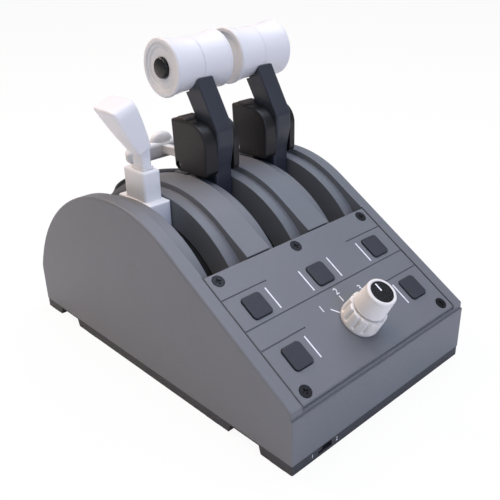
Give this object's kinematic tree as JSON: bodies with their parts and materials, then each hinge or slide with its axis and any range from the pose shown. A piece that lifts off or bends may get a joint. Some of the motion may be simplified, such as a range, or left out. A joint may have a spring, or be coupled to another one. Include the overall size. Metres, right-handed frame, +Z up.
{
  "type": "throttle quadrant",
  "caption": "Desktop throttle quadrant with thrust levers, reverser levers, a speed brake lever and a sloping button panel.",
  "frame": {"origin": "middle of the housing's footprint, on the surface its feet stand on", "axes": "+X to the user's right, +Y away from the user, +Z up"},
  "size_m": [0.261, 0.417, 0.189],
  "materials": {
    "housing_plastic": "fine grain",
    "base_plastic": "fine grain",
    "lever_plastic": "satin",
    "white_plastic": "satin",
    "black_plastic": "satin",
    "button_plastic": "fine grain",
    "tab_plastic": "textured",
    "selector_plastic": "satin",
    "black_steel": "black oxide",
    "steel": "brushed",
    "board": "solder mask",
    "rubber": "matte",
    "cable_jacket": "matte"
  },
  "bodies": {
    "housing": {"top_shell": "housing_plastic", "base_plate": "base_plastic", "rubber_feet": "rubber", "panel_plate": "housing_plastic", "panel_screws": "black_steel", "base_screws": "black_steel", "panel_board": "board", "selector_encoder": "black_plastic", "mode_switch_body": "black_plastic", "pivot_shaft": "steel", "shaft_stands": "steel", "shaft_spacers": "black_plastic", "stand_screws": "black_steel", "main_board": "board", "cable_socket": "steel", "cable_plug": "black_plastic", "cable_lead": "cable_jacket", "cable_coil": "cable_jacket", "cable_tail": "cable_jacket", "far_plug": "black_plastic"},
    "speed_brake": {"speed_brake_hub": "lever_plastic", "speed_brake_carrier": "white_plastic", "speed_brake_neck": "white_plastic", "speed_brake_head": "white_plastic"},
    "throttle_1": {"throttle_1_hub": "lever_plastic", "throttle_1_arm": "lever_plastic", "throttle_1_knob_left": "white_plastic", "throttle_1_knob_right": "white_plastic", "throttle_1_screw_cover": "white_plastic", "throttle_1_knob_screw": "steel", "throttle_1_pod_left": "lever_plastic", "throttle_1_pod_right": "lever_plastic", "throttle_1_reverse_pin": "steel"},
    "throttle_1_disconnect": {"throttle_1_disconnect_button": "black_plastic"},
    "throttle_1_go_around": {"throttle_1_go_around_button": "tab_plastic"},
    "throttle_1_reverse": {"throttle_1_reverse_arm": "steel", "throttle_1_reverse_handle": "white_plastic"},
    "throttle_2": {"throttle_2_hub": "lever_plastic", "throttle_2_arm": "lever_plastic", "throttle_2_knob_left": "white_plastic", "throttle_2_knob_right": "white_plastic", "throttle_2_screw_cover": "white_plastic", "throttle_2_knob_screw": "steel", "throttle_2_pod_left": "lever_plastic", "throttle_2_pod_right": "lever_plastic", "throttle_2_reverse_pin": "steel"},
    "throttle_2_disconnect": {"throttle_2_disconnect_button": "black_plastic"},
    "throttle_2_go_around": {"throttle_2_go_around_button": "tab_plastic"},
    "throttle_2_reverse": {"throttle_2_reverse_arm": "steel", "throttle_2_reverse_handle": "white_plastic"},
    "button_1": {"panel_button_1": "button_plastic"},
    "button_2": {"panel_button_2": "button_plastic"},
    "button_3": {"panel_button_3": "button_plastic"},
    "button_4": {"panel_button_4": "button_plastic"},
    "button_5": {"panel_button_5": "button_plastic"},
    "selector_outer": {"selector_ring": "selector_plastic"},
    "selector_push": {"selector_shaft": "steel"},
    "selector_inner": {"selector_knob": "selector_plastic", "selector_cap": "black_plastic"},
    "mode": {"mode_slider": "black_plastic"}
  },
  "joints": [
    {"name": "speed_brake_hinge", "type": "hinge", "parent": "housing", "child": "speed_brake", "pos_m": [-0.05, 0.0185, 0.026], "axis": [1, 0, 0], "range_deg": [-24, 32]},
    {"name": "throttle_1_hinge", "type": "hinge", "parent": "housing", "child": "throttle_1", "pos_m": [0, 0.0185, 0.026], "axis": [1, 0, 0], "range_deg": [-24, 32]},
    {"name": "throttle_1_disconnect_slide", "type": "slide", "parent": "throttle_1", "child": "throttle_1_disconnect", "axis": [1, 0, 0], "range_m": [0, 0.0012], "stiffness_N_per_m": 800},
    {"name": "throttle_1_go_around_slide", "type": "slide", "parent": "throttle_1", "child": "throttle_1_go_around", "axis": [0, 0, -1], "range_m": [0, 0.0008], "stiffness_N_per_m": 800},
    {"name": "throttle_1_reverse_hinge", "type": "hinge", "parent": "throttle_1", "child": "throttle_1_reverse", "pos_m": [0.003, 0.0335, 0.112], "axis": [1, 0, 0], "range_deg": [0, 60]},
    {"name": "throttle_2_hinge", "type": "hinge", "parent": "housing", "child": "throttle_2", "pos_m": [0.05, 0.0185, 0.026], "axis": [1, 0, 0], "range_deg": [-24, 32]},
    {"name": "throttle_2_disconnect_slide", "type": "slide", "parent": "throttle_2", "child": "throttle_2_disconnect", "axis": [-1, 0, 0], "range_m": [0, 0.0012], "stiffness_N_per_m": 800},
    {"name": "throttle_2_go_around_slide", "type": "slide", "parent": "throttle_2", "child": "throttle_2_go_around", "axis": [0, 0, -1], "range_m": [0, 0.0008], "stiffness_N_per_m": 800},
    {"name": "throttle_2_reverse_hinge", "type": "hinge", "parent": "throttle_2", "child": "throttle_2_reverse", "pos_m": [0.053, 0.0335, 0.112], "axis": [1, 0, 0], "range_deg": [0, 60]},
    {"name": "button_1_slide", "type": "slide", "parent": "housing", "child": "button_1", "axis": [0, 0.5159, -0.8566], "range_m": [0, 0.0008], "stiffness_N_per_m": 800},
    {"name": "button_2_slide", "type": "slide", "parent": "housing", "child": "button_2", "axis": [0, 0.5159, -0.8566], "range_m": [0, 0.0008], "stiffness_N_per_m": 800},
    {"name": "button_3_slide", "type": "slide", "parent": "housing", "child": "button_3", "axis": [0, 0.5159, -0.8566], "range_m": [0, 0.0008], "stiffness_N_per_m": 800},
    {"name": "button_4_slide", "type": "slide", "parent": "housing", "child": "button_4", "axis": [0, 0.5159, -0.8566], "range_m": [0, 0.0008], "stiffness_N_per_m": 800},
    {"name": "button_5_slide", "type": "slide", "parent": "housing", "child": "button_5", "axis": [0, 0.5159, -0.8566], "range_m": [0, 0.0008], "stiffness_N_per_m": 800},
    {"name": "selector_outer_turn", "type": "hinge", "parent": "housing", "child": "selector_outer", "pos_m": [0, -0.09977, 0.05021], "axis": [0, -0.5159, 0.8566], "range_deg": [-42, 42]},
    {"name": "selector_push_slide", "type": "slide", "parent": "housing", "child": "selector_push", "axis": [0, 0.5159, -0.8566], "range_m": [0, 0.0009], "stiffness_N_per_m": 800},
    {"name": "selector_inner_turn", "type": "hinge", "parent": "selector_push", "child": "selector_inner", "pos_m": [0, -0.09977, 0.05021], "axis": [0, -0.5159, 0.8566], "continuous": true},
    {"name": "mode_slide", "type": "slide", "parent": "housing", "child": "mode", "axis": [1, 0, 0], "range_m": [0, 0.0064]}
  ]
}
